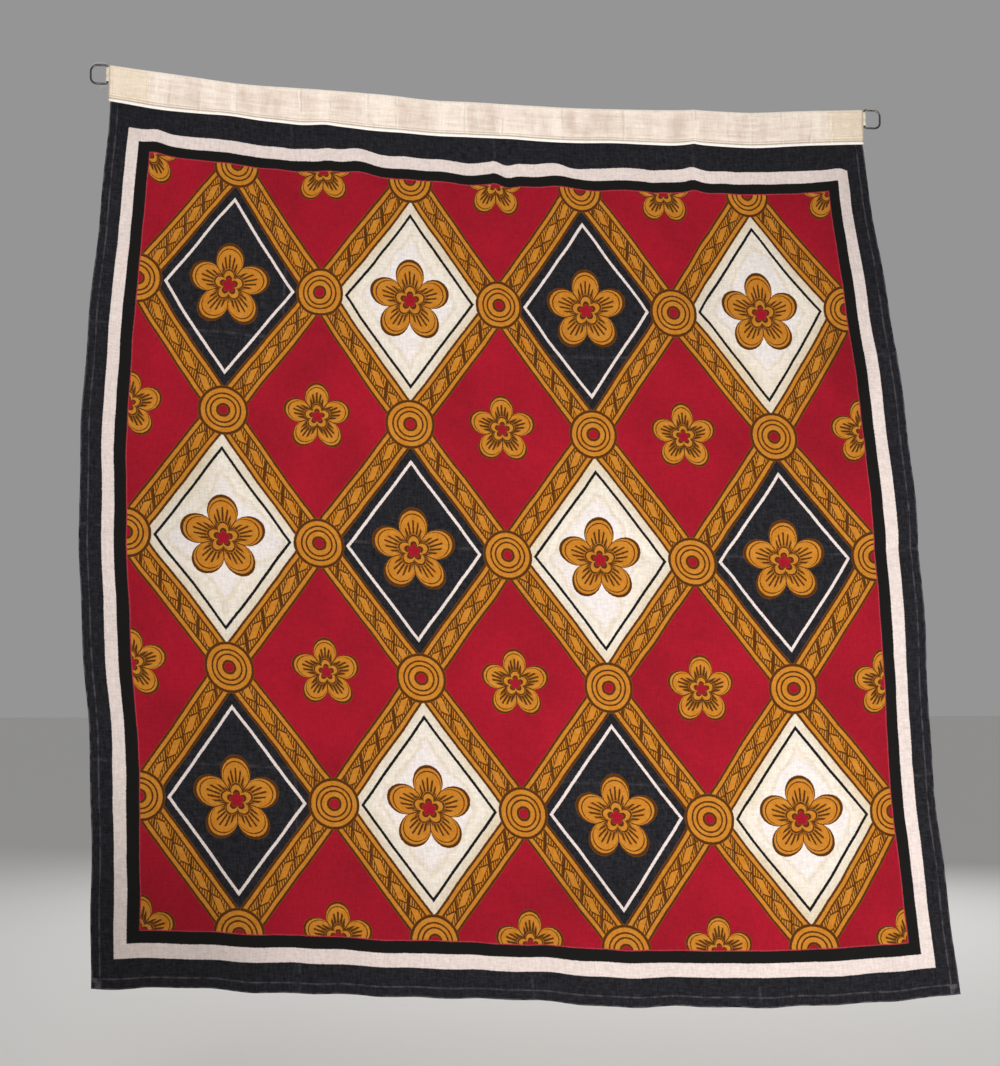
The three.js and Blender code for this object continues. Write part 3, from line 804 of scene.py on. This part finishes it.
def printedCotton():
    material, tree, shader = newMaterial("printed plain-weave cotton")
    tone = tones(printed)
    flat = flatPlace(tree)
    # the print's edges wander a little and step from thread to thread
    wander = node(tree, flatNoise, flat, 1 / 110).outputs["Color"]
    bleed = node(tree, flatNoise, flat, 1 / 2.6).outputs["Color"]
    place = node(tree, timesPlusEach, wander, (5, 5, 0), flat)
    place = node(tree, timesPlusEach, bleed, (1.3, 1.3, 0), place)
    place = node(tree, minusEach, place, (3.15, 3.15, 0))  # half of both, as noise is 0.5 on average
    blotch = node(tree, flatNoise, flat, 1 / 130, 4)
    speckle = node(tree, flatNoise, flat, 1 / 14, 5)
    parts = node(tree, split, flat)
    fine = unevenThreads(tree, flat, cottonLook["thread"], cottonLook["run"])
    coarse = unevenThreads(tree, flat, cottonLook["slub"], cottonLook["slubRun"])
    threads = node(tree, mixNumber, 0.4, fine, coarse)

    # the outer border is worn: pale fibres on the hem's edge and stitching, the corner tacks and the folds
    border = node(tree, mixColour, node(tree, remap, threads, 0.4, 0.66), tone["outerDark"], tone["heather"])
    width, length = panel["cutWidth"] / 2, panel["cutLength"]
    toEdge = insideBox(tree, flat, ((-width, -length), (width, length)))
    inner = width - panel["stitchFromSide"]
    ridge = insideBox(tree, flat, ((-inner, 14 - length), (inner, length)))
    rubbed = node(tree, remap, toEdge, 2.6, 0.2, 0, 0.4)
    rubbed = node(tree, larger, rubbed, beside(tree, ridge, 1.8, 0.3, 0, 0.16))
    for places, axis, size in ((hang["uprightCreases"], 0, width), (hang["levelCreases"], 1, -length)):
        for at, _ in places:
            off = node(tree, minus, parts.outputs[axis], at * size)
            rubbed = node(tree, larger, rubbed, beside(tree, off, 3, 0.8, 0, 0.06))
    for end in (-1, 1):
        tack = insideBox(tree, flat, ((end * (width - 8) - 7, -length), (end * (width - 8) + 7, 15 - length)))
        rubbed = node(tree, larger, rubbed, node(tree, remap, tack, 0, 1, 0, 0.3))
    rubbed = node(tree, times, rubbed, node(tree, remap, speckle, 0.36, 0.6))
    border = node(tree, mixColour, rubbed, border, tone["worn"])

    figure = trellis(tree, place)
    # pale cloth: beige near the bands, and a cleaner pool in the middle inside a tide line
    pool = node(tree, timesPlus, blotch, 60, figure["nearest"])
    pool = node(tree, timesPlus, speckle, 10, pool)
    pale = node(tree, mixColour, node(tree, remap, pool, 48, 80), tone["stain"], tone["cream"])
    for start, end, share, colour in ((82.0, 86.0, 0.5, "tideLine"), (85.0, 92.0, 0.75, "clean")):
        reached = node(tree, remap, pool, start, end, 0, share)
        pale = node(tree, mixColour, reached, pale, tone[colour])
    redder = node(tree, mixColour, node(tree, remap, blotch, 0.34, 0.7), tone["red"], tone["deepRed"])
    lozenge = node(tree, mixColour, figure["dark"], pale, border)
    framed = node(tree, mixColour, figure["dark"], tone["innerDark"], tone["white"])
    lozenge = node(tree, mixColour, figure["frame"], lozenge, framed)
    field = node(tree, mixColour, figure["coloured"], redder, lozenge)
    gold = node(tree, mixColour, node(tree, remap, speckle, 0.3, 0.75), tone["ochre"], tone["paleOchre"])
    for mask, colour in (("fill", gold), ("eyes", redder), ("lines", tone["brown"])):
        field = node(tree, mixColour, figure[mask], field, colour)

    # the border: dark, white, dark, then the field with a thin paler line where the red meets the dark
    colour = border
    for box, inset, inside in (("whiteOuter", 0.0, tone["white"]), ("whiteInner", 0.0, tone["innerDark"]),
                               ("field", 0.0, tone["fringe"]), ("field", 1.4, field)):
        edge = node(tree, remap, insideBox(tree, place, printed[box]), inset - 0.4, inset + 0.4)
        colour = node(tree, mixColour, edge, colour, inside)

    # the print shows through paler on the back
    side = node(tree, times, parts.outputs[2], cottonLook["showThrough"] * mm)
    colour = node(tree, mixColour, side, colour, tone["white"])
    soft = node(tree, remap, blotch, 0.3, 0.7, 1.02, 0.97)
    shade = node(tree, times, node(tree, remap, threads, 0.35, 0.65, 0.84, 1.13), soft)
    # each patch darkens the cloth in a soft blot; the one in the lower left corner is painted shade
    for x, down, wide, tall, strength in cottonLook["stainsAndShade"]:
        away = node(tree, timesPlusEach, flat, (1 / wide, 1 / tall, 0), (-x / wide, down / tall, 0))
        away = node(tree, timesPlus, blotch, 0.9, node(tree, vectorLength, away))
        darker = node(tree, remap, away, 1.5, 0.6, 1, 1 - strength, interpolation_type="SMOOTHSTEP")
        shade = node(tree, times, shade, darker)

    height = node(tree, timesPlus, node(tree, flatNoise, flat, 1 / 38, 3), 2, threads)
    finishCloth(tree, shader, cottonLook, node(tree, scaled, colour, shade), height)
    return material


# unbleached cotton canvas: coarse uneven threads and greyish blotches, with painted highlights on its ridges
# and painted shade beside them
canvasLook = {
    "base": "#FAEBDC", "blotch": "#DDC9B9", "shadow": "#A8927B", "ridge": "#FCF5EC", "yellowed": "#EFDCC0",
    "thread": 1.9, "run": 12, "relief": 0.7 * mm, "roughness": 0.95, "gloss": 0.25, "sheen": 0.1,
}


def headingCanvas():
    material, tree, shader = newMaterial("cream cotton canvas")
    tone = tones(canvasLook)
    flat = flatPlace(tree)
    parts = node(tree, split, flat)
    x, z = parts.outputs[0], parts.outputs[1]
    threads = unevenThreads(tree, flat, canvasLook["thread"], canvasLook["run"])
    patch = node(tree, flatNoise, flat, 1 / 26, 3)
    upright, level = streaks(tree, flat, 22, 110, 3), streaks(tree, flat, 55, 5, 3)
    both = node(tree, timesPlus, level, 0.6, upright)
    both = node(tree, timesPlus, patch, 0.4, both)
    # the folded strip stays cleaner along its edges than in its middle
    middle = beside(tree, node(tree, minus, z, hang["headingHeight"] / 2), 27, 15, 0.2)
    soiled = node(tree, remap, both, 0.82, 1.24, 0, 0.8)
    # the lower fold and the top fold rubbed paler; painted shadow along the stitch rows, and on each crease a
    # painted highlight with painted shade in a soft band to one side
    under = node(tree, remap, z, 4.2, 3.2)
    paintedShade = 0.0
    for row, share in zip(heading["stitchRows"], (0.8, 0.3)):
        line = beside(tree, node(tree, minus, z, row), 1.3, 0.5, 0, share)
        paintedShade = node(tree, larger, paintedShade, line)
    top = node(tree, remap, z, hang["headingHeight"] - 3.5, hang["headingHeight"] - 1, 0, 0.6)
    rubbed = node(tree, larger, under, top)
    broken = node(tree, remap, patch, 0.36, 0.58, 0.15)
    for i, (at, depth) in enumerate(heading["creases"]):
        off = node(tree, timesPlus, upright, 7, x)
        off = node(tree, timesPlus, patch, 6, off)
        off = node(tree, minus, off, at + 6.5)
        # painted highlight along the crease, and painted shade in a band to one side of it
        line = beside(tree, off, 2, 0.4, 0, 0.1 + 0.36 * abs(depth))
        rubbed = node(tree, larger, rubbed, node(tree, times, line, broken))
        behind = node(tree, minus, off, math.copysign(2.8, depth))
        line = beside(tree, behind, 2.6, 0.5, 0, 0.06 + 0.2 * abs(depth))
        paintedShade = node(tree, larger, paintedShade, node(tree, times, line, broken))
        # the cloth between two creases is a little darker or paler than its neighbours
        step = node(tree, remap, off, -2.0, 2, 0, (0.24, -0.24)[i % 2])
        soiled = node(tree, plus, soiled, step)
    soiled = node(tree, times, soiled, middle)
    colour = node(tree, mixColour, soiled, tone["base"], tone["blotch"])
    start = hang["headingWidth"] / 2 - heading["endPatch"]
    aged = beside(tree, x, start - 2, start + 3, 0, 0.6)
    colour = node(tree, mixColour, aged, colour, tone["yellowed"])
    colour = node(tree, mixColour, paintedShade, colour, tone["shadow"])
    colour = node(tree, mixColour, rubbed, colour, tone["ridge"])
    shade = node(tree, remap, threads, 0.33, 0.67, 0.9, 1.06)
    height = node(tree, timesPlus, both, 1.5, threads)
    finishCloth(tree, shader, canvasLook, node(tree, scaled, colour, shade), height)
    return material


# twilled cotton tape: slanted ribs about 1 mm apart, greyed a little in patches
def cottonTape():
    material, tree, shader = newMaterial("twilled cotton tape")
    flat = flatPlace(tree)
    rib = node(tree, "ShaderNodeTexWave", {"Vector": flat, "Scale": 0.32, "Distortion": 1.2, "Detail": 1.0},
               bands_direction="DIAGONAL")
    grime = node(tree, noise, flat, 1 / 6, 4)
    colour = node(tree, mixColour, node(tree, remap, grime, 0.4, 0.7), linear("#EFE5D3"), linear("#CDBDA2"))
    shaded = node(tree, scaled, colour, node(tree, remap, rib, 0, 1, 0.86, 1.05))
    bump = node(tree, bumpMap, {"Strength": 0.6, "Distance": 0.3 * mm, "Height": rib})
    setInputs(tree, shader, {"Base Color": shaded, "Normal": bump, "Roughness": 0.92})
    return material


# spun cotton thread: matt, its twist seen only as a faint mottle
def spunThread(name, colour, worn):
    material, tree, shader = newMaterial(name)
    where = node(tree, "ShaderNodeTexCoord").outputs["Object"]
    mottle = node(tree, noise, where, 900, 3)
    mixed = node(tree, mixColour, mottle, linear(colour), linear(worn))
    bump = node(tree, bumpMap, {"Strength": 0.4, "Distance": 0.1 * mm, "Height": mottle})
    setInputs(tree, shader, {"Base Color": mixed, "Normal": bump, "Roughness": 0.85})
    return material


# drawn steel wire gone dark: a dull metal gleam with brown rust freckles
def steelWire():
    material, tree, shader = newMaterial("dark drawn steel wire")
    where = node(tree, "ShaderNodeTexCoord").outputs["Object"]
    freckle = node(tree, noise, where, 420, 5)
    rusty = node(tree, remap, freckle, 0.52, 0.66)
    colour = node(tree, mixColour, rusty, linear("#5A5A5E"), linear("#5C3A24"))
    bump = node(tree, bumpMap, {"Strength": 0.5, "Distance": 0.2 * mm, "Height": freckle})
    setInputs(tree, shader, {"Base Color": colour, "Normal": bump,
                             "Metallic": node(tree, remap, rusty, 0, 1, 0.95, 0.2),
                             "Roughness": node(tree, remap, rusty, 0, 1, 0.36, 0.8)})
    return material


def placed(piece, slot, *nodes):
    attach(piece, "root")
    if nodes:
        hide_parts(*nodes)
    return piece


headingPiece = placed(makeHeading(headingCanvas()), "cream_canvas", "heading")
print("heading folded")
panelPiece = placed(makePanel(printedCotton()), "printed_cotton", "flag_panel")
print("cloth hung and printed")

wire, stitches = wireTree(), stitchTree()
steel, tape = steelWire(), cottonTape()
for name, side in (("left", -1), ("right", 1)):
    placed(makeTab("tape_tab_" + name, side, tape), "cotton_tape", "ring_tab_" + name)
    placed(makeRing("wire_ring_" + name, side, wire, steel), "dark_steel_wire", "ring_" + name)
print("tabs and rings made")

sizes = {name: sewing[name.lower()] * mm for name in ("Spacing", "Length", "Thickness")}
paleThread = spunThread("natural cotton thread", "#E2D3BE", "#BDAA90")
greyThread = spunThread("worn dark cotton thread", "#57525A", "#2C292E")
headingThread = grow("heading_stitches", stitches, headingSeams(), {**sizes, "Material": paleThread})
placed(headingThread, "cream_canvas")
hemThread = grow("hem_stitches", stitches, hemSeams(), {**sizes, "Material": greyThread})
placed(hemThread, "printed_cotton")
strayValues = {"Radius": 0.22 * mm, "Spacing": 1.0 * mm, "Sides": 6, "Material": paleThread}
strayPiece = grow("thread_ends", wire, strayThreads(), strayValues)
placed(strayPiece, "cream_canvas")
print("stitches sewn")

# a pale floor and soft boxes: one from the left, and a stronger one from low on the right
studio = {
    "floor": -1.47, "floorSize": 60, "world": 0.3,
    "boxes": [
        {"at": (-0.6, -1.3, -0.35), "aim": (-0.23, 0, 0.3), "size": 0.7, "power": 10.2},
        {"at": (0.33, -1.3, -1.2), "aim": (0.9, 0, -0.17), "size": 0.5, "power": 17.6},
        {"at": (0.6, 2.4, 0.5), "aim": (0, 0, -0.64), "size": 2.0, "power": 40},
    ],
}


def setStudio():
    size = studio["floorSize"]
    material, tree, shader = newMaterial("pale matt floor")
    setInputs(tree, shader, {"Base Color": linear("#F2F1EE"), "Roughness": 0.9})
    corners = [(x * size / 2, y * size / 2, studio["floor"]) for x, y in ((-1, -1), (1, -1), (1, 1), (-1, 1))]
    meshObject("floor", corners, [(0, 1, 2, 3)], material)
    world = bpy.data.worlds.new("studio")
    bpy.context.scene.world = world
    world.use_nodes = True
    background = world.node_tree.nodes["Background"]
    setInputs(world.node_tree, background, {"Color": linear("#FFFFFF"), "Strength": studio["world"]})
    for i, box in enumerate(studio["boxes"]):
        light = bpy.data.lights.new(f"soft box {i + 1}", "AREA")
        light.size, light.energy = box["size"], box["power"]
        lamp = addObject(light.name, light)
        lamp.location = box["at"]
        lamp.visible_camera = False
        aim = Vector(box["aim"]) - Vector(box["at"])
        lamp.rotation_euler = aim.to_track_quat("-Z", "Y").to_euler()
    bpy.context.scene.view_settings.view_transform = "Standard"


setStudio()
print("floor and lights set")
